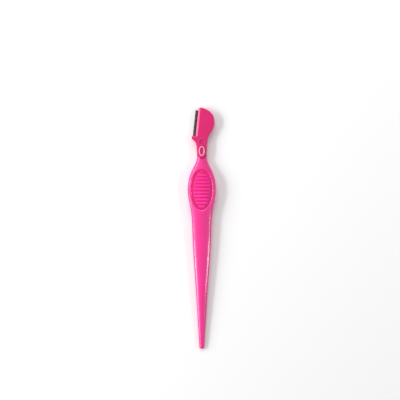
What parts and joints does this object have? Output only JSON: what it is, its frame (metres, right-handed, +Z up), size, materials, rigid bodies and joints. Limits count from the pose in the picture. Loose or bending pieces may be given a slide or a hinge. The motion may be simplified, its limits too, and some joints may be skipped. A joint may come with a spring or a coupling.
{
  "type": "eyebrow razor",
  "caption": "Slim pink eyebrow razor with a tapered handle, ribbed oval grip pads and a push-on head holding a guarded short blade.",
  "frame": {"origin": "on the surface that the razor's flat back rests on, halfway along its length and on its axis", "axes": "+Y along the razor from tail to blade head, +Z up out of the front face with the ribbed thumb pad and the oval window, +X to the right so that the blade is on the -X side"},
  "size_m": [0.0176, 0.15, 0.0069],
  "materials": {
    "handle_plastic": "bright pink moulded plastic, glossy",
    "head_plastic": "deeper pink moulded plastic, glossy",
    "pad_rubber": "soft pink moulded rubber, satin",
    "blade_steel": "ground blade steel",
    "guard_steel": "dark rolled steel foil"
  },
  "bodies": {
    "handle": {"handle": "handle_plastic", "thumb_pad": "pad_rubber", "finger_pad": "pad_rubber"},
    "head": {"head_front_shell": "head_plastic", "head_rear_shell": "head_plastic", "blade": "blade_steel", "blade_guard": "guard_steel"}
  },
  "joints": [
    {"name": "head_pull", "type": "slide", "parent": "handle", "child": "head", "axis": [0, 1, 0], "range_m": [0, 0.0076]}
  ]
}
